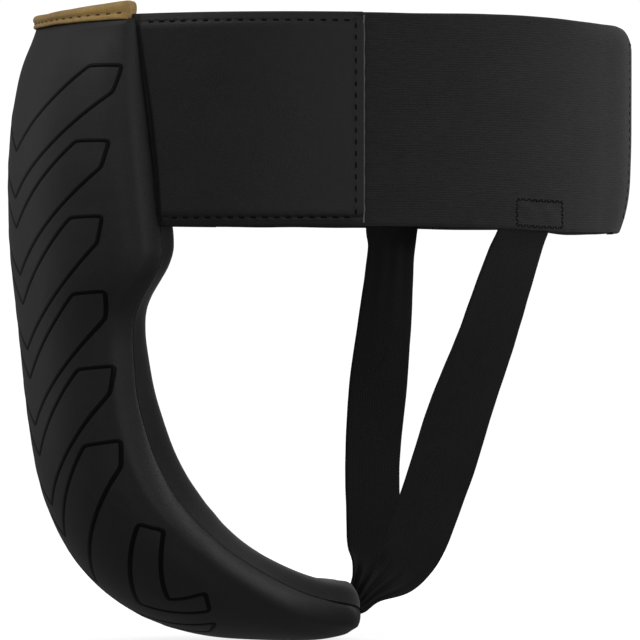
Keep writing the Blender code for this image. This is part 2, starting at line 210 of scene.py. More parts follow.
def quarter(dist, radius, power=2.0):
    """Rises from 0 at the edge to 1 at that distance, as a rounded edge does."""
    q = 1 - np.clip(dist / radius, 0, 1)
    return np.maximum(1 - q ** power, 0) ** (1 / power)


def bind_drop(v):
    """How much further down the binding reaches towards its ends."""
    return 2.1 * np.minimum(np.abs(v) / BIND_HALF, 1) ** 1.6


def edge_gap(s, v):
    return np.maximum(outline(s) - np.abs(v), 0)


def seam_lift(s):
    """Half the thickness of what is sewn into the pad's seam."""
    return 0.3 + 0.6 * ease((116 - s) / 8.0) + 0.5 * ease((s - 372) / 10.0)


# How much prouder than the CAD the front and the back are, down the pad.
front_more = smooth(((0, 1), (8, 3.2), (14, 3.6), (35, 3.4), (60, 3.1), (80, 2.8),
                     (100, 1.9), (120, 1.3), (140, 0.8), (160, 0.3), (190, 0.4), (215, 0.8),
                     (250, 0.8), (280, 0), (345, 0.2), (370, 1.4), (397, 2.2)))
back_more = smooth(((0, 0), (120, 0), (200, 1.5), (320, 2), (345, 2.5), (370, 4.5),
                    (397, 6.5)))
# How far the back swells sideways past the seam.
back_bulge = smooth(((0, 0.5), (60, 1), (95, 3.4), (116, 5), (130, 2.8), (145, 1.2),
                     (165, 2.5), (190, 4.6), (215, 6.8), (250, 9), (280, 9.4), (305, 8.2),
                     (335, 4.6), (365, 2.6), (397, 1)))
# The seam swings towards the wearer short of the tail.
seam_depth = smooth(((0, 0), (185, 0), (210, -1), (235, -2.3), (265, -2.8), (300, -2.3),
                     (352, -2.5), (370, -0.9), (390, 0.2), (399, 0.3)))
# The padded roll along each edge of the back.
edge_roll = smooth(((0, 0), (150, 0), (165, 1), (185, 2.8), (207, 4.8), (231, 7.4), (252, 9.2),
                    (268, 10.2), (296, 10.8), (321, 9.4), (339, 6.4), (355, 2.4), (368, -1.2),
                    (380, -3), (399, -2.5)))


def cover_depth(s, v):
    """Depth of the front leather, which is pressed in under the binding."""
    face = open_cover(s, v)
    pressed = ease((BIND_DOWN + 4.75 + bind_drop(v) - s) / 1.6)
    return face - 2.1 * pressed * np.clip(face / 4, 0, 1)


def open_cover(s, v):
    """Depth of the front leather, as if the pad had no binding."""
    width, middle = half_width(s), front_thick(s)
    side = np.minimum(4.6, middle - 0.8)
    share = (1 - np.minimum(np.abs(v) / width, 1.0) ** 2.6) ** 0.8
    crown = side + (middle - side) * share - 0.15
    crown = crown + front_more(s) * (1 - np.minimum(np.abs(v) / width, 1.0) ** 3)
    crown = crown + 0.22 * wave_noise(s, v, seed=3, length=46) * ease((s - 22) / 20)
    crown = crown - 0.5 * bell(edge_gap(s, v), 10, 4.0) * ease((s - 20) / 20)
    low = seam_lift(s) + seam_depth(s)
    tail = quarter(PAD_END - s, 10.0, 2.3)
    return low + (crown - low) * quarter(edge_gap(s, v), 6.5) * tail


def dip_shape(s, v):
    """The bowl pressed into the middle of the pad's back, from 0 to 1."""
    rise = ease((s - 122) / 55.0) * ease((322 - s) / 60.0)
    return rise * (1 - np.minimum(np.abs(v) / 37.0, 1.0) ** 2) ** 2


def back_face(s, v):
    """Depth of the back lining: negative, towards the wearer."""
    full = back_thick(s) + back_more(s) - 11.0 * dip_shape(s, v) - 0.1
    full = full + edge_roll(s) * bell(np.abs(v) / outline(s), 0.92, 0.26)
    full = full + 0.25 * wave_noise(s, v, seed=8, length=38) * ease((s - 22) / 20)
    groove = bell(edge_gap(s, v), CHANNEL_IN, 1.2) * ease((s - 16) / 6)
    full = full - 0.9 * groove * ease((PAD_END - 8 - s) / 8)
    low = seam_lift(s) - seam_depth(s)
    side = quarter(edge_gap(s, v), 6.0, 2.4) * quarter(PAD_END - s, 8.0, 2.2)
    return -(low + (full - low) * side)


def clustered(count):
    """From -1 to 1, closer together near both ends."""
    return np.sin(np.linspace(-math.pi / 2, math.pi / 2, count))


def pad_rows(first, last, step, tail_steps=26):
    """Distances down the pad, closer together over its last 12 mm."""
    q = np.linspace(0, math.pi / 2, tail_steps)
    return np.concatenate([np.arange(first, last - 12, step), last - 12 * (1 - np.sin(q)) - 0.02])


def pad_grid():
    """(s, v) of the rows and columns that the pad's cover and back are made on."""
    s = pad_rows(1.8, PAD_END, 2.0)
    v = outline(s)[:, None] * clustered(121)
    return np.broadcast_to(s[:, None], v.shape), v


def round_pad(s, v, depth):
    """Down one side of the pad, round its tail and up the other side."""
    back, other = s[::-1], -v[::-1]
    return np.concatenate([pad_map(s, v, depth(s, v)), pad_map(back, other, depth(back, other))])


# ---------- belt shape
def loop_map(side, t, out, z):
    """Points on the belt loop, t degrees round from the front."""
    t, out, z = np.broadcast_arrays(*(np.asarray(k, float) for k in (t, out, z)))
    out, z = out + belt_lean(t, z), z + belt_sag(side, t, z)
    a = np.radians(t)
    deep = np.where(np.cos(a) > 0, LOOP_FRONT, LOOP_REAR)
    x, y = LOOP_HALF_WIDTH * np.sin(a), -deep * np.cos(a)
    nx, ny = x / LOOP_HALF_WIDTH ** 2, y / deep ** 2
    size = np.hypot(nx, ny)
    return np.stack([side * (x + out * nx / size), y + out * ny / size, z], -1)


def wing_front(z):
    """Angle of the pad's slanting edge at a height, where the wing starts."""
    s = 56.0 - z
    radius = bowl_radius(s)
    reach = radius * np.sin((half_width(s) + 1.1) / radius)
    return np.degrees(np.arcsin(np.clip(reach / LOOP_HALF_WIDTH, -1, 1)))


def left_shift(t):
    return LAP_SHIFT * ease((t - 136.0) / 12.0)


def right_shift(t):
    return -LAP_SHIFT * ease((t - 152.0) / 16.0)


def belt_lean(t, z):
    """How far the soft belt leans in at the rear, where its long edges also curl in."""
    rear = ease((t - 134) / 28.0)
    high = np.clip((z - 39.0) / 12.5, 0, 1)
    low = np.clip((-z - 22.0) / 29.5, 0, 1)
    turn = 7.5 * (1 - np.sqrt(1 - 0.95 * high ** 2)) + 5.2 * low ** 2.4
    return -rear * (3.0 + 1.4 * ease(-z / 50)) - turn * ease((t - 120) / 32.0)


def belt_sag(side, t, z):
    """The belt hangs a little at the rear and between its sewn places."""
    sag = -1.3 * ease((t - 106) / 30.0) - 0.6 * ease(z / 51) * ease((104 - t) / 10.0)
    if side > 0:
        return sag - 1.2 * bell(t, 118, 14.0) * ease(-z / 40)
    return sag + 3.3 * ease(-z / 51) * ease((t - 26) / 12.0) * ease((164 - t) / 18.0)


# ---------- meshes
def in_scene(name, data):
    thing = bpy.data.objects.new(name, data)
    bpy.context.scene.collection.objects.link(thing)
    return thing


def finish_mesh(name, verts, faces, sharp=48.0, lay=None):
    """An object in the scene; lay is carried for the materials that follow a band."""
    mesh = bpy.data.meshes.new(name)
    mesh.from_pydata((np.asarray(verts, float) * MM).tolist(), [], faces)
    if lay is not None:
        store = mesh.attributes.new("lay", "FLOAT_VECTOR", "POINT")
        store.data.foreach_set("vector", np.asarray(lay, np.float32).ravel())
    work = bmesh.new()
    work.from_mesh(mesh)
    bmesh.ops.recalc_face_normals(work, faces=work.faces)
    work.to_mesh(mesh)
    work.free()
    mesh.shade_smooth()
    mesh.set_sharp_from_angle(angle=math.radians(sharp))
    return in_scene(name, mesh)


def quads(rows, cols, start=0, ring=False, torus=False):
    """Faces of a grid of vertices numbered row by row; its columns, or both ways, join up."""
    i, j = np.meshgrid(np.arange(rows if torus else rows - 1),
                       np.arange(cols if ring or torus else cols - 1), indexing="ij")
    k, m = (j + 1) % cols, (i + 1) % rows
    found = np.stack([i * cols + j, i * cols + k, m * cols + k, m * cols + j], -1)
    return (found.reshape(-1, 4) + start).tolist()


def shell(name, grid, thick):
    """A closed skin between a grid of outer points and the grid that lies thick below it."""
    rows, cols = grid.shape[:2]
    normal = np.cross(np.gradient(grid, axis=0), np.gradient(grid, axis=1))
    normal /= np.maximum(np.linalg.norm(normal, axis=2, keepdims=True), 1e-9)
    inner = grid - thick * normal
    verts = np.concatenate([grid.reshape(-1, 3), inner.reshape(-1, 3)])
    half = rows * cols
    faces = quads(rows, cols) + [f[::-1] for f in quads(rows, cols, half)]
    rim = ([i * cols for i in range(rows)]
           + [(rows - 1) * cols + j for j in range(1, cols)]
           + [i * cols + cols - 1 for i in range(rows - 2, -1, -1)]
           + [j for j in range(cols - 2, 0, -1)])
    for a, b in zip(rim, rim[1:] + rim[:1]):
        faces.append([a, b, half + b, half + a])
    return finish_mesh(name, verts, faces)


def swept(name, grid, lay=None, sharp=48.0):
    """A closed body from rows of closed rings."""
    rows, cols = grid.shape[:2]
    faces = quads(rows, cols, ring=True)
    faces.append(list(range(cols)))
    faces.append([(rows - 1) * cols + j for j in range(cols - 1, -1, -1)])
    return finish_mesh(name, grid.reshape(-1, 3), faces,
                       sharp, None if lay is None else lay.reshape(-1, 3))


def ring_profile(half, thick, fine):
    """(height, face) of a flat band's outline: face is 1 outside and -1 inside."""
    phi = np.linspace(0, math.pi, 7)[1:-1]
    up = np.linspace(-half + thick, half - thick, fine)
    z = np.concatenate([up, half - thick + thick * np.sin(phi), up[::-1],
                        -half + thick - thick * np.sin(phi)])
    face = np.concatenate([np.ones(fine), np.cos(phi), -np.ones(fine), -np.cos(phi)])
    return z, face


def given(what, *at):
    return what(*at) if callable(what) else what


def band(name, side, first, last, step, half, thick, shift, fine=60, extra=None):
    """A flat band round part of the loop, from first to last, which may depend on z.

    shift, or shift(t, z), is its middle's distance out, and extra(t, z, out) changes out and z.
    """
    z, face = ring_profile(half, thick / 2, fine)
    start, stop = given(first, z) + 0 * z, given(last, z) + 0 * z
    count = int(np.max(stop - start) / step) + 2
    tau = np.linspace(0, 1, count)[:, None]
    t = start * (1 - tau) + stop * tau
    zz = np.broadcast_to(z, t.shape)
    out = given(shift, t, zz) + face * thick / 2
    if extra is not None:
        out, zz = extra(t, zz, out)
    grid = loop_map(side, t, out, zz)
    lay = np.stack([t * 2.3, zz, np.broadcast_to(face, t.shape)], -1)
    return swept(name, grid, lay)


ROUND = 8                   # sides of a stitch or cord


def dashes(name, centres, ways, ups, length, radius):
    """Small rounded stitches: one flattened capsule at each centre, its ends pulled in."""
    rings = np.array([(-1, 0.1), (-0.93, 0.6), (-0.75, 0.92), (-0.3, 1), (0.3, 1),
                      (0.75, 0.92), (0.93, 0.6), (1, 0.1)])
    verts, faces = [], []
    angle = np.linspace(0, TURN, ROUND, endpoint=False)
    for centre, way, up in zip(centres, ways, ups):
        way = way / np.linalg.norm(way)
        up = up - way * np.dot(up, way)
        up = up / np.linalg.norm(up)
        across = np.cross(way, up)
        start = len(verts)
        for far, fat in rings:
            sag = -0.25 * radius * far ** 2
            for a in angle:
                verts.append(centre + way * far * length / 2
                             + across * math.cos(a) * radius * fat
                             + up * (math.sin(a) * radius * fat * 0.7 + sag))
        faces += quads(len(rings), ROUND, start, ring=True)
        faces.append([start + k for k in range(ROUND)])
        last = start + (len(rings) - 1) * ROUND
        faces.append([last + k for k in range(ROUND - 1, -1, -1)])
    return finish_mesh(name, np.array(verts), faces, 80)


def tube(name, path, radius):
    """A round cord along a path. The guide is any direction that the path never takes."""
    ahead = unit(np.gradient(path, axis=0))
    across = unit(np.cross(ahead, np.array([0.31, 0.52, 0.79])))
    up = np.cross(across, ahead)
    a = np.linspace(0, TURN, ROUND, endpoint=False)
    size = np.broadcast_to(np.asarray(radius, float), (len(path),))[:, None, None]
    grid = path[:, None, :] + size * (np.cos(a)[None, :, None] * across[:, None, :]
                                      + np.sin(a)[None, :, None] * up[:, None, :])
    return swept(name, grid, sharp=80)


# ---------- materials
class Paint:
    """A node material with a few shorthands."""

    def __init__(self, name, rough, **sockets):
        self.material = bpy.data.materials.new(name)
        self.material.use_nodes = True
        self.tree = self.material.node_tree
        self.shader = self.tree.nodes["Principled BSDF"]
        self.shader.inputs["Roughness"].default_value = rough
        for socket, value in sockets.items():
            self.shader.inputs[socket.replace("_", " ")].default_value = value

    def node(self, kind, inputs=(), **settings):
        made = self.tree.nodes.new("ShaderNode" + kind)
        for key, value in settings.items():
            setattr(made, key, value)
        for key, value in dict(inputs).items():
            if isinstance(value, bpy.types.NodeSocket):
                self.tree.links.new(value, made.inputs[key])
            else:
                made.inputs[key].default_value = value
        return made

    def place(self):
        """Object coordinates in millimetres."""
        where = self.node("TexCoord").outputs["Object"]
        return self.node("Mapping", {"Vector": where, "Scale": [1 / MM] * 3}).outputs[0]

    def lay(self, scale=(1.0, 1.0, 1.0)):
        """Along and across a band, in millimetres, as its mesh carries them."""
        where = self.node("Attribute", attribute_name="lay").outputs["Vector"]
        return self.node("Mapping", {"Vector": where, "Scale": scale}).outputs[0]

    def noise(self, where, size, detail=2.0, rough=0.5, distortion=0.0):
        return self.node("TexNoise", {"Vector": where, "Scale": 1.0 / size, "Detail": detail,
                                      "Roughness": rough, "Distortion": distortion}).outputs[0]

    def math(self, how, a, b=0.0):
        return self.node("Math", {0: a, 1: b}, operation=how).outputs[0]

    def add(self, a, b):
        return self.math("ADD", a, b)

    def times(self, a, b):
        return self.math("MULTIPLY", a, b)

    def weigh(self, *shares):
        """Sum of (value, weight) pairs."""
        parts = [self.times(*share) for share in shares]
        total = parts[0]
        for part in parts[1:]:
            total = self.add(total, part)
        return total

    def cells(self, where, scale, randomness, output="Distance", **settings):
        return self.node("TexVoronoi", {"Vector": where, "Scale": scale,
                                        "Randomness": randomness}, **settings).outputs[output]

    def spread(self, value, low, high, to_low=0.0, to_high=1.0):
        return self.node("MapRange", {"Value": value, "From Min": low, "From Max": high,
                                      "To Min": to_low, "To Max": to_high}).outputs[0]

    def mix(self, share, a, b):
        made = self.node("Mix", {"Factor": share}, data_type="RGBA")
        for key, value in (("A", a), ("B", b)):
            socket = [k for k in made.inputs if k.name == key and k.type == "RGBA"][0]
            if isinstance(value, bpy.types.NodeSocket):
                self.tree.links.new(value, socket)
            else:
                socket.default_value = (*value, 1.0)
        return [k for k in made.outputs if k.type == "RGBA"][0]

    def colour(self, value):
        self.tree.links.new(value, self.shader.inputs["Base Color"])

    def rough(self, value):
        self.tree.links.new(value, self.shader.inputs["Roughness"])

    def bump(self, height, strength, distance, under=None):
        made = self.node("Bump", {"Height": height, "Strength": strength,
                                  "Distance": distance * MM})
        if under is not None:
            self.tree.links.new(under, made.inputs["Normal"])
        self.tree.links.new(made.outputs[0], self.shader.inputs["Normal"])
        return made.outputs[0]


def leather(name, dark, light, rough, grain, deep, specular):
    """Grained artificial leather: pebbles, fine pores, uneven shine and worn edges."""
    p = Paint(name, rough, Specular_IOR_Level=specular)
    where = p.place()
    warp = p.node("VectorMath", {0: where, 1: (0, 0, 0)}, operation="ADD")
    p.tree.links.new(p.node("TexNoise", {"Vector": where, "Scale": 0.6, "Detail": 2.0}
                            ).outputs["Color"], warp.inputs[1])
    cells = p.cells(warp.outputs[0], 1 / grain, 1.0, 0, feature="DISTANCE_TO_EDGE")
    pebble = p.spread(cells, 0.0, 0.28)
    fine = p.noise(where, 0.28, 3.0)
    broad = p.noise(where, 24.0, 4.0, 0.6)
    blotch = p.noise(where, 5.0, 3.0, 0.6)
    base = p.mix(p.spread(p.weigh((broad, 0.55), (blotch, 0.45)), 0.34, 0.66), dark, light)
    base = p.mix(p.spread(pebble, 0.0, 0.6, 0.55, 0.0), base, [k * 0.45 for k in dark])
    wear = p.spread(p.node("NewGeometry").outputs["Pointiness"], 0.53, 0.62, 0.0, 0.5)
    wear = p.times(wear, p.spread(blotch, 0.35, 0.65))
    p.colour(p.mix(wear, base, [min(k * 2.6, 0.9) for k in light]))
    p.rough(p.add(p.weigh((broad, 0.10), (fine, 0.10)), rough - 0.10))
    height = p.add(pebble, p.times(fine, 0.35))
    first = p.bump(height, 0.35, deep)
    p.bump(p.noise(where, 7.0, 2.0), 0.25, 0.5, first)
    return p.material


def weave(name, dark, light, pitch=(0.95, 1.15), rough=0.82, sheen=0.12, streak=0.5,
          lustre=0.35, deep=0.22, inner=1.0):
    """Woven elastic: warp and weft threads, slubs and streaks; inner darkens its inner face as
    painted shade.
    """
    p = Paint(name, rough, Sheen_Weight=sheen, Sheen_Roughness=0.45,
              Specular_IOR_Level=lustre)
    split = p.node("SeparateXYZ", {"Vector": p.lay()})
    u, v = split.outputs[0], split.outputs[1]
    wobble = p.noise(p.lay((0.35, 0.35, 1)), 1.0, 2.0)
    u = p.add(u, p.times(wobble, 0.5))
    warp = p.math("SINE", p.times(u, TURN / pitch[0]))
    weft = p.math("SINE", p.times(v, TURN / pitch[1]))
    height = p.add(p.weigh((p.times(warp, weft), 0.32), (weft, 0.18)), 0.5)
    slub = p.noise(p.lay((0.16, 1.3, 1)), 1.0, 3.0, 0.65)
    speck = p.noise(p.lay((1.1, 1.0, 1)), 1.0, 2.0, 0.7)
    patch = p.noise(p.lay((0.03, 0.05, 1)), 1.0, 3.0, 0.6)
    share = p.weigh((height, 0.34), (slub, streak), (speck, 0.45), (patch, 0.2))
    # under is the colour times inner: painted shade for the inner face, where lay's third value is
    # -1.
    outer, under = (p.mix(p.spread(share, 0.45, 0.9), [k * shade for k in dark],
                          [k * shade for k in light]) for shade in (1.0, inner))
    p.colour(p.mix(p.spread(split.outputs[2], -0.5, 0.5), under, outer))
    p.rough(p.spread(share, 0.3, 1.0, rough + 0.06, rough - 0.1))
    first = p.bump(height, 0.7, deep)
    p.bump(slub, 0.35, 0.12, first)
    return p.material


def knit(name, dark, light):
    """Brushed knitted lining."""
    p = Paint(name, 0.9, Sheen_Weight=0.35, Sheen_Roughness=0.5, Specular_IOR_Level=0.25)
    where = p.place()
    cells = p.cells(where, 1.25, 0.35)
    fuzz = p.noise(where, 0.35, 4.0, 0.7)
    broad = p.noise(where, 18.0, 3.0)
    base = p.mix(p.spread(p.weigh((fuzz, 0.5), (broad, 0.4)), 0.3, 0.62), dark, light)
    p.colour(p.mix(p.spread(cells, 0.0, 0.35, 0.5, 0.0), base, [k * 0.4 for k in dark]))
    p.rough(p.spread(fuzz, 0.3, 0.7, 0.84, 0.96))
    first = p.bump(cells, 0.5, 0.25)
    p.bump(fuzz, 0.35, 0.15, first)
    return p.material


def fibre(name, dark, light, rough=0.6, twist=0.55, sheen=0.1, specular=0.4):
    """Twisted sewing thread."""
    p = Paint(name, rough, Sheen_Weight=sheen, Specular_IOR_Level=specular)
    where = p.place()
    plies = p.node("TexWave", {"Vector": where, "Scale": twist, "Distortion": 2.0,
                               "Detail": 1.0}, bands_direction="DIAGONAL").outputs["Fac"]
    fuzz = p.noise(where, 0.3, 3.0)
    p.colour(p.mix(p.times(plies, fuzz), dark, light))
    p.rough(p.spread(fuzz, 0.3, 0.7, rough - 0.1, rough + 0.1))
    p.bump(plies, 0.5, 0.12)
    return p.material


def moulded(name, dark, light):
    """Moulded plastic with a fine spark-eroded texture and flow marks."""
    p = Paint(name, 0.38, Specular_IOR_Level=0.5)
    where = p.place()
    fine, broad = p.noise(where, 0.5, 3.0), p.noise(where, 22.0, 3.0, 0.6, 1.2)
    p.colour(p.mix(p.spread(broad, 0.3, 0.7), dark, light))
    p.rough(p.add(p.times(fine, 0.2), 0.30))
    p.bump(fine, 0.3, 0.08)
    return p.material


def pile(name, dark, light, spacing, deep, rough=0.9):
    """Hook or loop tape: rows of little tufts."""
    p = Paint(name, rough, Sheen_Weight=0.25, Specular_IOR_Level=0.3)
    where = p.lay()
    tufts = p.cells(where, 1 / spacing, 0.4)
    fuzz = p.noise(where, 0.3, 4.0, 0.7)
    p.colour(p.mix(p.spread(tufts, 0.1, 0.6), light, dark))
    p.rough(p.spread(fuzz, 0.3, 0.7, rough - 0.1, min(rough + 0.05, 1.0)))
    first = p.bump(p.math("SUBTRACT", 1.0, tufts), 0.9, deep)
    p.bump(fuzz, 0.4, 0.15, first)
    return p.material


PAD_LEATHER = leather("pad_leather_grain", (0.0085, 0.0085, 0.0087), (0.0135, 0.0135, 0.0138),
                      0.5, 0.8, 0.10, 0.42)
WING_LEATHER = leather("wing_leather_grain", (0.0072, 0.0072, 0.0074), (0.0110, 0.0110, 0.0112),
                       0.52, 0.7, 0.09, 0.36)
TRIM_LEATHER = leather("tan_leather_grain", (0.45, 0.275, 0.078), (0.62, 0.40, 0.138),
                       0.46, 0.75, 0.10, 0.4)
INK = leather("black_line", (0.0010, 0.0010, 0.0010), (0.0018, 0.0018, 0.0018), 0.5, 1.4,
              0.04, 0.12)
LINING = knit("lining_knit", (0.012, 0.012, 0.013), (0.024, 0.024, 0.026))
BELT_WEAVE = weave("belt_weave", (0.0038, 0.0038, 0.0040), (0.0215, 0.0215, 0.0218))
# inner=0.16 darkens the strap's inner face: painted shade, where the belt shades the strap.
STRAP_WEAVE = weave("strap_weave", (0.0135, 0.0135, 0.0138), (0.0300, 0.0300, 0.0305),
                    (1.1, 1.35), 0.86, 0.02, 0.35, 0.22, inner=0.16)
BLACK_THREAD = fibre("black_thread_twist", (0.0008, 0.0008, 0.0008), (0.003, 0.003, 0.003), 0.6,
                     sheen=0.0, specular=0.12)
TRIM_THREAD = fibre("brown_thread_twist", (0.035, 0.019, 0.008), (0.085, 0.05, 0.022))
# Light grey cut edge: partly the fibres' own colour and partly a painted highlight along the edge.
RAW_EDGE_PAINTED_HIGHLIGHT = fibre("raw_edge_fibre", (0.10, 0.10, 0.10), (0.27, 0.27, 0.265), 0.85, 0.9)
PLASTIC = moulded("cup_plastic_moulded", (0.62, 0.62, 0.6), (0.76, 0.76, 0.74))
PANEL = knit("panel_board", (0.03, 0.03, 0.033), (0.06, 0.06, 0.065))
HOOKS = pile("hook_tape_tufts", (0.006, 0.006, 0.006), (0.03, 0.03, 0.03), 1.1, 0.5, 0.6)
LOOPS = pile("loop_tape_tufts", (0.008, 0.008, 0.008), (0.035, 0.035, 0.036), 0.8, 0.4)


def dress(thing, material, slot, *stands_for):
    """Gives a piece its material and hides the CAD nodes that it stands for; slot is not used."""
    thing.data.materials.append(material)
    if stands_for:
        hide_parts(*stands_for)
    return thing


# ---------- pad pieces
def make_cover():
    s, v = pad_grid()
    cover = shell("pad_cover", pad_map(s, v, cover_depth(s, v)), 1.3)
    dress(cover, PAD_LEATHER, "pad_leather", "front_cover", "impact_foam")
    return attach(cover, "pad")


def make_back():
    s, v = pad_grid()
    bulge = back_bulge(s) * np.sin(math.pi * quarter(edge_gap(s, v), 6.0, 2.4) ** 1.3)
    near = ease((np.abs(v) / outline(s) - 0.5) / 0.4)
    grid = pad_map(s, v + np.sign(v) * bulge * near, back_face(s, v))
    back = shell("pad_back", grid, -1.1)
    dress(back, LINING, "lining", "back_lining", "cushion_foam")
    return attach(back, "pad")


def make_seam():
    s = pad_rows(7.0, PAD_END - SEAM_IN, 2.0)
    line = round_pad(s, outline(s) - SEAM_IN, lambda s, v: seam_depth(s))
    seam = dress(tube("pad_seam_cord", line, 1.0), BLACK_THREAD, "black_thread")
    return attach(seam, "pad")


def make_back_stitches():
    """Stitches in the channel round the edge of the pad's back."""
    s = pad_rows(18.0, PAD_END - 14, 0.5, 10)
    line = round_pad(s, outline(s) - CHANNEL_IN, lambda s, v: back_face(s, v) - 0.05)
    at = np.arange(2.5, arc_of(line)[-1], 5.0)
    here = along(line, at)
    made = dashes("pad_back_stitches", here, along(line, at + 0.5) - here + 1e-6,
                  here + (0, 0, 60), 2.6, 0.34)
    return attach(dress(made, BLACK_THREAD, "black_thread"), "pad")


def graphic_outlines():
    """The pad's line decoration: closed outlines of (across, down) points."""
    shapes = []
    for k in range(6):
        top = 30.0 + 36.0 * k
        reach = 59.0 - 2.6 * k
        shapes.append([(-reach, top), (-reach + 15, top), (0, top + 40), (reach - 15, top),
                       (reach, top), (reach - 3, top + 13), (0, top + 62),
                       (-reach + 3, top + 13)])
    for side in (1, -1):
        shapes.append([(side * 12, 286), (side * 40, 252), (side * 46, 262),
                       (side * 24, 292), (side * 34, 304), (side * 26, 312)])
    shapes.append([(-20, 318), (0, 290), (20, 318), (11, 320), (0, 303), (-11, 320)])
    return shapes


def rounded(points, cut=0.2):
    """Cuts the corners of a closed outline twice, then sets its points close together."""
    points = np.array(points, float)
    dense = []
    for a, b in zip(points, np.roll(points, -1, axis=0)):
        long = np.linalg.norm(b - a)
        ends = min(1.2 / long, 0.3)
        dense += [a + (b - a) * ends, b - (b - a) * ends]
    points = np.array(dense)
    for _ in range(2):
        ahead = np.roll(points, -1, axis=0)
        points = np.stack([points * (1 - cut) + ahead * cut,
                           points * cut + ahead * (1 - cut)], 1).reshape(-1, 2)
    loop = np.concatenate([points, points[:1]])
    total = arc_of(loop)[-1]
    return along(loop, np.linspace(0, total, int(total / 0.9), endpoint=False))


def make_graphic():
    """The decoration as thin raised lines on the cover."""
    width, proud = 2.0, 0.14
    verts, faces = [], []
    for shape in graphic_outlines():
        line = rounded(shape)
        way = unit(np.roll(line, -1, axis=0) - np.roll(line, 1, axis=0))
        side = np.stack([-way[:, 1], way[:, 0]], -1)
        start, count = len(verts), len(line)
        ring = [(-0.5, -0.25), (-0.42, 0.8), (0, 1), (0.42, 0.8), (0.5, -0.25), (0, -0.6)]
        for offset, lift in ring:
            at = line + side * offset * width
            depth = cover_depth(at[:, 1], at[:, 0]) + proud * lift
            verts += list(pad_map(at[:, 1], at[:, 0], depth))
        faces += quads(len(ring), count, start, torus=True)
    made = dress(finish_mesh("pad_line_pattern", np.array(verts), faces), INK, "pad_leather")
    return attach(made, "pad")


# ---------- binding
# (down, out) of the folded strip from its front edge to its top, where out is 7 at its fullest.
BIND_PROFILE = ((4.6, 5.9), (4.75, 6.5), (4.5, 7.0), (3.6, 7.0), (2.9, 6.75), (2.35, 6.3),
                (1.9, 6.75), (1.2, 7.15), (0.2, 7.2), (-0.9, 6.9), (-1.7, 5.9), (-2.15, 4.2),
                (-2.3, 2.0))


def bind_face(face, v):
    """Depth of the binding on the pad's front, 1, or back, -1."""
    v = np.minimum(np.abs(v), BIND_HALF)
    cover, back = open_cover(11.0, v) + 0.35, 0.5 - back_face(11.0, v)
    end = 0.03 + 0.97 * quarter(BIND_HALF - v, 2.8)
    return np.where(np.asarray(face) > 0, cover, back) * end


def make_binding():
    """The folded strip over the pad's top edge, smoothed, closed at its ends, and its stitches."""
    front = np.array(BIND_PROFILE)
    loop = np.concatenate([front, [(-2.35, 0.0)], front[::-1] * (1, -1)])
    core = along(loop, np.linspace(0, arc_of(loop)[-1], 84))
    for _ in range(3):
        core[1:-1] = (core[:-2] + core[1:-1] * 2 + core[2:]) / 4
    v = BIND_HALF * clustered(150)
    ripple = 1 + 0.015 * wave_noise(v, seed=5, length=16)
    share = core[:, 1][:, None] / 7.0
    depth = share * bind_face(share, v) * ripple
    corner = quarter(BIND_HALF + 0.2 - np.abs(v), 2.6)
    s = BIND_DOWN + 4.7 - (4.7 - core[:, 0])[:, None] * (0.72 + 0.28 * corner)
    s = s + bind_drop(v) * np.clip((core[:, 0] + 2.35) / 7.0, 0, 1)[:, None]
    s = s + 0.14 * wave_noise(v, seed=6, length=30)
    grid = pad_map(s, np.broadcast_to(v, s.shape), depth)
    binding = shell("top_binding", grid, -0.9)
    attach(dress(binding, TRIM_LEATHER, "trim_leather", "top_trim"), "pad")
    centres, ways, ups = [], [], []
    for face in (1, -1):
        for v in np.arange(-55.0, 55.1, STITCH_PITCH):
            row = BIND_DOWN + 2.3 + 0.68 * bind_drop(v)
            here = pad_map(row, v, face * (0.925 * bind_face(face, v) + 0.15))
            ahead = pad_map(row, v + 0.5, face * (0.925 * bind_face(face, v + 0.5) + 0.15))
            out = pad_map(row, v, face * 12.0)
            centres.append(here), ways.append(ahead - here), ups.append(out - here)
    stitches = dashes("top_binding_stitches", centres, ways, ups, 2.5, 0.36)
    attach(dress(stitches, TRIM_THREAD, "trim_thread", "top_trim_thread"), "pad")


# ---------- wings
def wing_shape(t, z, face):
    """Distance of the padded wing's faces from its middle, pinched at its stitches and edges."""
    gap = BELT_HALF - np.abs(z)
    to_rear = (WING_REAR_T - t) * DEGREE
    from_pad = (t - wing_front(z)) * DEGREE
    full = WING_OUT + 0.12 * wave_noise(t * DEGREE, z, seed=21, length=34)
    edge = full - 0.75 * ease((8.0 - gap) / 6.0)
    pulse = 0.75 + 0.25 * np.cos(t * DEGREE * TURN / STITCH_PITCH)
    edge = edge - 0.55 * pulse * bell(gap, STITCH_IN, 0.8)
    edge = edge - 0.85 * ease((7.5 - to_rear) / 6.0)
    pulse = 0.7 + 0.3 * np.cos(z * TURN / STITCH_PITCH)
    row = bell(to_rear, (WING_REAR_T - REAR_STITCH_T) * DEGREE, 0.7)
    edge = edge - 0.5 * pulse * row * (gap > STITCH_IN - 1)
    thin = 1.2 + (edge - 1.2) * ease((from_pad + 1.0) / 3.6)
    lip = (0.3 + 0.7 * np.clip(gap / 4.4, 0, 1)) * quarter(gap, 1.1)
    return face * np.maximum(thin, 0.7) * (0.12 + 0.88 * lip)


def wing_panel(word, side):
    z, face = wing_ring()
    start = wing_front(z) - 4.6
    tau = np.linspace(0, 1, 150)[:, None]
    t = start * (1 - tau) + WING_REAR_T * tau
    zz = np.broadcast_to(z, t.shape)
    out = wing_shape(t, zz, face)
    lay = np.stack([t * DEGREE, zz, out], -1)
    panel = swept(f"wing_{word}_panel", loop_map(side, t, out, zz), lay, 60)
    return dress(panel, WING_LEATHER, "wing_leather", f"wing_{word}_cover",
                 f"wing_{word}_foam", f"wing_root_{word}")


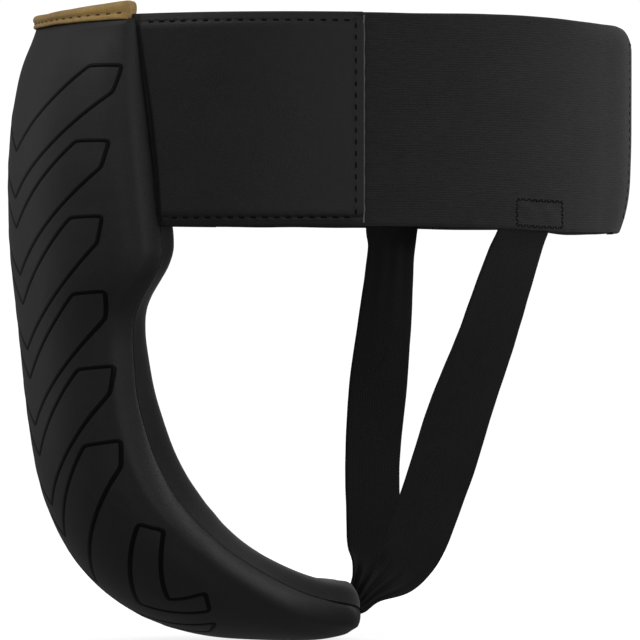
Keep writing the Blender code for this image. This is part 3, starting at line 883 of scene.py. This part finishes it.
def wing_ring():
    """Outline of the wing, finer by its edges and stitches."""
    gap = np.concatenate([np.linspace(0, 1, 6)[:-1], np.linspace(1, 8, 22)[:-1],
                          np.linspace(8, BELT_HALF, 22)])
    outer = np.concatenate([-BELT_HALF + gap, (BELT_HALF - gap)[::-1][1:]])
    inner = outer[::-1][1:-1]
    return (np.concatenate([outer, inner]),
            np.concatenate([np.ones(len(outer)), -np.ones(len(inner))]))


def wing_backing(word, side):
    """The lining laid on the wing's inner face."""
    backing = band(f"wing_{word}_backing", side, lambda z: wing_front(z) - 1.5,
                   WING_REAR_T - 1.0, 0.8, 46.2, 0.5,
                   lambda t, z: -wing_shape(t, z, 1.0) - 0.05)
    return dress(backing, LINING, "lining", f"wing_{word}_lining")


def wing_stitches(word, side):
    """Rows of stitches along the wing's top, bottom and rear edges, on both its faces."""
    lines = []
    for z in (BELT_HALF - STITCH_IN, -BELT_HALF + STITCH_IN):
        t = np.linspace(float(wing_front(z)) + 2.4, REAR_STITCH_T - 0.6, 200)
        lines.append((t, np.full_like(t, z)))
    z = np.linspace(-BELT_HALF + STITCH_IN, BELT_HALF - STITCH_IN, 200)
    lines.append((np.full_like(z, REAR_STITCH_T), z))
    centres, ways, ups = [], [], []
    for face in (1.0, -1.0):
        for t, z in lines:
            out = wing_shape(t, z, 1.0)
            line = loop_map(side, t, face * (out + 0.12), z)
            high = loop_map(side, t, face * (out + 5.0), z)
            gone = arc_of(line)
            pitch = gone[-1] / round(gone[-1] / STITCH_PITCH)
            at = np.arange(pitch / 2, gone[-1], pitch)
            here = along(line, at)
            centres += list(here)
            ways += list(along(line, at + 0.5) - here)
            ups += list(along(high, at, gone) - here)
    made = dashes(f"wing_{word}_stitches", centres, ways, ups, 2.9, 0.5)
    return dress(made, BLACK_THREAD, "black_thread", f"wing_{word}_thread")


def raw_edge_painted_highlight(word, side):
    """Frayed cut edge of the wing leather where it ends on the elastic; its light grey is partly
    the cut fibres' own colour and partly painted highlight.
    """
    z = np.linspace(-BELT_HALF + 1.6, BELT_HALF - 1.6, 260)
    wavy = 0.10 * wave_noise(z, seed=31 + (side > 0), waves=7, length=9)
    fat = 0.42 + 0.11 * wave_noise(z, seed=41, waves=7, length=5)
    path = loop_map(side, WING_REAR_T + 0.08 + wavy, 1.38 + wavy * 0.8, z)
    edge = dress(tube(f"wing_{word}_raw_edge_painted_highlight", path, fat), RAW_EDGE_PAINTED_HIGHLIGHT, "wing_leather")
    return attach(edge, f"belt_{word}")


def hinge_blend(thing):
    """Bakes a piece's placement into its mesh."""
    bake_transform(thing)


def make_wing(word, side):
    panel, backing = wing_panel(word, side), wing_backing(word, side)
    stitches = wing_stitches(word, side)
    for thing in (panel, backing, stitches):
        hinge_blend(thing)
    raw_edge_painted_highlight(word, side)


# ---------- elastic
def elastic_detail(t, z, out):
    """Uneven edges and small pulls round the sewn places of an elastic band."""
    out = out + 0.10 * bell(t, 79.5, 2.2) * np.sin(z * TURN / STITCH_PITCH)
    by_strap = np.exp(-(((t - STRAP_T) * 2.5) / 17) ** 2 - ((z + 43) / 11) ** 2)
    out = out + 0.35 * by_strap * wave_noise(t * 2.4, z, seed=51, length=10)
    out = out + 0.14 * wave_noise(t * 2.4, z, seed=52, length=60)
    return out, z + 0.22 * wave_noise(t * 2.4, seed=53, length=44) * (np.abs(z) > 30)


def make_elastic(word, side, last, shift, nodes):
    made = band(f"elastic_{word}_band", side, ELASTIC_FRONT_T, last, 0.55, ELASTIC_HALF,
                ELASTIC_THICK, lambda t, z: shift(t), 70, elastic_detail)
    return dress(made, BELT_WEAVE, "belt_elastic", *nodes)


def peel_blend(thing):
    """Bakes a piece's placement into its mesh."""
    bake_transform(thing)


def box_stitches(word, side):
    """Zigzag box that sews the leg strap to the elastic."""
    degree, pitch = 2.41, 1.7
    reach = 14.2 / degree
    corners = [(-reach, -36.5), (reach, -36.5), (reach, -49.0), (-reach, -49.0)]
    centres, ways, ups = [], [], []
    for (a, z0), (b, z1) in zip(corners, corners[1:] + corners[:1]):
        long = math.hypot((b - a) * degree, z1 - z0)
        dt, dz = (b - a) * degree / long, (z1 - z0) / long
        count = int(long / pitch)
        for k, face in ((k, face) for k in range(count) for face in (1, -1)):
            share, zig = (k + 0.5) / count, 0.88 if k % 2 else -0.88
            out = face * (ELASTIC_THICK / 2 + (0.06 if face > 0 else 1.95))
            t, z = STRAP_T + 1.2 + a + (b - a) * share, z0 + (z1 - z0) * share
            here = loop_map(side, t, out, z)
            ahead = loop_map(side, t + (dt - dz * zig) / degree * 0.4, out,
                             z + (dz + dt * zig) * 0.4)
            above = loop_map(side, t, out + 3 * face, z)
            centres.append(here), ways.append(ahead - here), ups.append(above - here)
    made = dashes(f"box_stitch_{word}_zigzag", centres, ways, ups, 1.9, 0.36)
    dress(made, BLACK_THREAD, "black_thread", f"box_stitch_{word}")
    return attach(made, f"belt_{word}")


# ---------- closure
def tape_patch(kind, side, first, last, material, body):
    out = side * (LAP_SHIFT - PATCH_FACE + PATCH_THICK / 2)
    made = band(f"{kind}_tape_patch", side, first, last, 0.5, PATCH_HALF, PATCH_THICK, out)
    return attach(dress(made, material, f"{kind}_tape", f"{kind}_patch"), body)


def binding_wrap():
    """Folded strip over the cut end of the closure."""
    z = np.linspace(-50.9, 50.9, 130)
    out = np.array([-1.55, -1.75, -1.75, -1.6, -1.2, 0, 1.2, 1.6, 1.75, 1.75, 1.55])
    t = np.array([-5.4, -5.2, -3.0, -0.5, 0.55, 0.8, 0.55, -0.5, -3.0, -5.2, -5.4]) * 0.45
    fine = np.linspace(0, len(t) - 1, 60)
    t, out = np.interp(fine, range(len(t)), t), np.interp(fine, range(len(out)), out)
    ripple = 1 + 0.03 * wave_noise(z, seed=61, length=12)
    ends = 0.45 + 0.55 * quarter(51.1 - np.abs(z), 2.0)
    grid = loop_map(1, LAP_TO_T + t[:, None], LAP_SHIFT + out[:, None] * (ripple * ends), z)
    made = shell("closure_end_binding", grid, -0.55)
    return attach(dress(made, WING_LEATHER, "wing_leather", "tab_end_binding"), "closure_tab")


def patch_stitches(name, side, first, last, half, out, face, body):
    """Stitches round a patch, out from the loop's middle and on its outer, 1, or inner face."""
    corners = [(first, half), (last, half), (last, -half), (first, -half), (first, half)]
    t = np.concatenate([np.linspace(a[0], b[0], 60) for a, b in zip(corners, corners[1:])])
    z = np.concatenate([np.linspace(a[1], b[1], 60) for a, b in zip(corners, corners[1:])])
    line, high = loop_map(side, t, out, z), loop_map(side, t, out + 4 * face, z)
    gone = arc_of(line)
    at = np.arange(1.5, gone[-1], 4.2)
    here = along(line, at)
    made = dashes(name, here, along(line, at + 0.4) - here + 1e-7, along(high, at, gone) - here,
                  2.4, 0.3)
    dress(made, BLACK_THREAD, "black_thread")
    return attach(made, body)


# ---------- leg straps
def strap_line(side):
    """Points down a strap from behind the belt into the pad's tail, as its route says them."""
    knots = np.array(STRAP_ROUTE[side], float)
    gone = arc_of(knots[:, :3])
    at = np.linspace(0, gone[-1], 150)
    line = np.stack([spline(list(zip(gone, knots[:, k])))(at) for k in range(3)], -1)
    shape = np.stack([np.interp(at, gone, knots[:, k]) for k in (3, 4)], -1)
    z = np.linspace(-30.2, -50.0, 12)
    t = STRAP_LEAVES[side][0] + STRAP_LEAVES[side][1] * (z + 58)
    top = loop_map(side, t, -ELASTIC_THICK / 2 - 0.3 - STRAP_THICK / 2, z) * (side, 1, 1)
    line = np.concatenate([top, line])
    shape = np.concatenate([np.tile([knots[0, 3], 109.0], (12, 1)), shape])
    gone = arc_of(line)
    at = np.linspace(0, gone[-1], 230)
    rows = along(np.concatenate([line, shape], axis=1), at, gone)
    for _ in range(14):
        rows[1:-1] = (rows[:-2] + 2 * rows[1:-1] + rows[2:]) / 4
    return at, rows[:, :3], rows[:, 3], np.radians(rows[:, 4])


def leg_strap(word, side):
    """Elastic webbing that twists as it drops and is gathered where it enters the pad."""
    at, line, width, turn = strap_line(side)
    way = unit(np.gradient(line, axis=0))
    across = np.stack([np.cos(turn), np.sin(turn), 0 * turn], -1)
    across = unit(across - way * np.sum(across * way, axis=1, keepdims=True))
    up = np.cross(way, across)
    z, face = ring_profile(1.0, 0.05, 25)
    bow = 0.25 * wave_noise(at, seed=71, length=60)[:, None] * (1 - z ** 2)
    gathered = ease((1 - width / STRAP_WIDTH) / 0.5) * ease((at[-1] - 9 - at) / 8)
    bow = bow + 1.2 * gathered[:, None] * np.cos(3.4 * math.pi * z + 0.6)
    ragged = 1 + 0.006 * wave_noise(at, seed=72 + (side > 0), length=24)[:, None]
    grid = (line[:, None, :]
            + across[:, None, :] * (z * width[:, None] / 2 * ragged)[..., None]
            + up[:, None, :] * (face * STRAP_THICK / 2 + bow)[..., None])
    grid = grid * (side, 1, 1)
    # lay's third value is 1 on the outer face and -1 on the inner face, which takes the painted
    # shade.
    lay = np.stack([np.broadcast_to(at[:, None], grid.shape[:2]),
                    z * width[:, None] / 2,
                    np.broadcast_to(face, grid.shape[:2])], -1)
    strap = swept(f"leg_strap_{word}_webbing", grid, lay)
    dress(strap, STRAP_WEAVE, "strap_elastic", f"leg_strap_{word}", f"strap_end_{word}",
          f"strap_root_{word}")
    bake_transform(strap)
    return strap


# ---------- carried-over CAD nodes
def paint_nodes():
    for name, material in (("cup_shell", PLASTIC), ("backing_panel", PANEL)):
        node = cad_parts[name]
        node.data.materials.clear()
        node.data.materials.append(material)


# ---------- stage
CAMERA_TURN = math.radians(70.0)
CAMERA_AT = (2.40, -0.0099, -0.0953)
FLOOR_Z = -0.2532
AIM = (0, 0, -0.08)
# name, place, size, power
LIGHTS = (("key", (1.0, -1.5, 1.5), (1.4, 1.4), 13), ("fill", (1.9, 0.9, 0.5), (1.8, 1.8), 7),
          ("rim_right", (-0.3, 1.6, 0.5), (0.9, 1.6), 11),
          ("rim_left", (-0.5, -1.6, 0.3), (0.8, 1.6), 2.5),
          ("low", (2.0, 0.6, -0.1), (1.8, 0.3), 2.5), ("top", (0.5, -0.2, 2.0), (1.6, 1.6), 6),
          ("behind", (-1.6, 0.2, 1.1), (1.4, 1.4), 2.5))
TOWARDS = np.array([math.sin(CAMERA_TURN), -math.cos(CAMERA_TURN), 0.0])
RIGHT = np.array([math.cos(CAMERA_TURN), math.sin(CAMERA_TURN), 0.0])
UP = np.array([0.0, 0.0, 1.0])


def placed(towards, right, up):
    """A place by how far it is towards the camera, to its right and up."""
    return list(TOWARDS * towards + RIGHT * right + UP * up)


def area_light(name, where, size, power):
    light = bpy.data.lights.new(name, "AREA")
    light.shape, light.size, light.size_y = "RECTANGLE", *size
    light.energy = power
    thing = in_scene(name, light)
    thing.location = where
    thing.rotation_mode = "QUATERNION"
    thing.rotation_quaternion = (Vector(AIM) - Vector(where)).to_track_quat("-Z", "Y")


def make_camera():
    camera = bpy.data.cameras.new("camera")
    camera.lens, camera.sensor_width = 272.6, 36.0
    camera.clip_start, camera.clip_end = 0.05, 100
    thing = in_scene("camera", camera)
    thing.location = placed(*CAMERA_AT)
    thing.rotation_euler = (math.pi / 2, 0, CAMERA_TURN)
    bpy.context.scene.camera = thing


def glowing(name, rough, grey, strength):
    """A plain pale material that the lights hardly change."""
    return Paint(name, rough, Specular_IOR_Level=0, Base_Color=(grey, grey, grey, 1),
                 Emission_Color=(1, 1, 1, 1), Emission_Strength=strength)


def floor_material():
    """Pale floor that fades into the white backdrop."""
    p = glowing("floor_pale", 0.9, 0.55, 1.0)
    split = p.node("SeparateXYZ", {"Vector": p.node("TexCoord").outputs["Object"]})
    x, y = split.outputs[0], split.outputs[1]
    reach = p.math("SQRT", p.add(p.times(x, x), p.times(y, y)))
    p.tree.links.new(p.spread(reach, 0.2, 0.8, 0.80, 1.05), p.shader.inputs["Emission Strength"])
    return p.material


def make_stage():
    bpy.ops.mesh.primitive_circle_add(vertices=96, radius=0.9, fill_type="NGON",
                                      location=(0, 0, FLOOR_Z))
    floor = bpy.context.object
    floor.name = "floor"
    floor.data.materials.append(floor_material())
    bpy.ops.mesh.primitive_uv_sphere_add(segments=48, ring_count=24, radius=20)
    dome = bpy.context.object
    dome.name = "backdrop"
    dome.data.materials.append(glowing("backdrop_white", 1.0, 0, 1.05).material)
    for thing in (floor, dome):
        thing.visible_diffuse = thing.visible_glossy = False
        thing.visible_transmission = thing.visible_volume_scatter = False
    dome.visible_shadow = False
    world = bpy.context.scene.world = bpy.data.worlds.new("studio")
    world.use_nodes = True
    sky = world.node_tree.nodes["Background"]
    sky.inputs[0].default_value, sky.inputs[1].default_value = (1, 1, 1, 1), 0.17
    view = bpy.context.scene.view_settings
    view.view_transform, view.look, view.exposure, view.gamma = "Standard", "None", 0, 1
    for name, where, size, power in LIGHTS:
        area_light(name, placed(*where), size, power)


# ---------- assembly
SIDES = (("left", 1), ("right", -1))
make_cover()
make_back()
make_seam()
make_back_stitches()
make_graphic()
make_binding()
for word, side in SIDES:
    make_wing(word, side)
left = make_elastic("left", 1, LAP_TO_T - 0.2, left_shift,
                    ("elastic_left", "closure_tab_elastic"))
right = make_elastic("right", -1, UNDER_TO_T - 1.0, right_shift, ("elastic_right",))
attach(right, "belt_right")
peel_blend(left)
for word, side in SIDES:
    box_stitches(word, side)
hook = tape_patch("hook", 1, LAP_FROM_T + 3.5, LAP_TO_T - 3.2, HOOKS, "closure_tab")
loop = tape_patch("loop", -1, UNDER_FROM_T + 1.6, UNDER_TO_T - 3.2, LOOPS, "belt_right")
end_binding = binding_wrap()
patch_stitches("hook_tape_stitches", 1, LAP_FROM_T + 4.3, LAP_TO_T - 4.0, 43.0,
               LAP_SHIFT - PATCH_FACE - 0.02, -1, "closure_tab")
patch_stitches("hook_tape_stitches_outside", 1, LAP_FROM_T + 4.3, LAP_TO_T - 4.0, 43.0,
               LAP_SHIFT + ELASTIC_THICK / 2 + 0.03, 1, "closure_tab")
patch_stitches("loop_tape_stitches", -1, UNDER_FROM_T + 2.4, UNDER_TO_T - 4.0, 43.0,
               PATCH_FACE - LAP_SHIFT + 0.02, 1, "belt_right")
for word, side in SIDES:
    leg_strap(word, side)
paint_nodes()
make_camera()
make_stage()
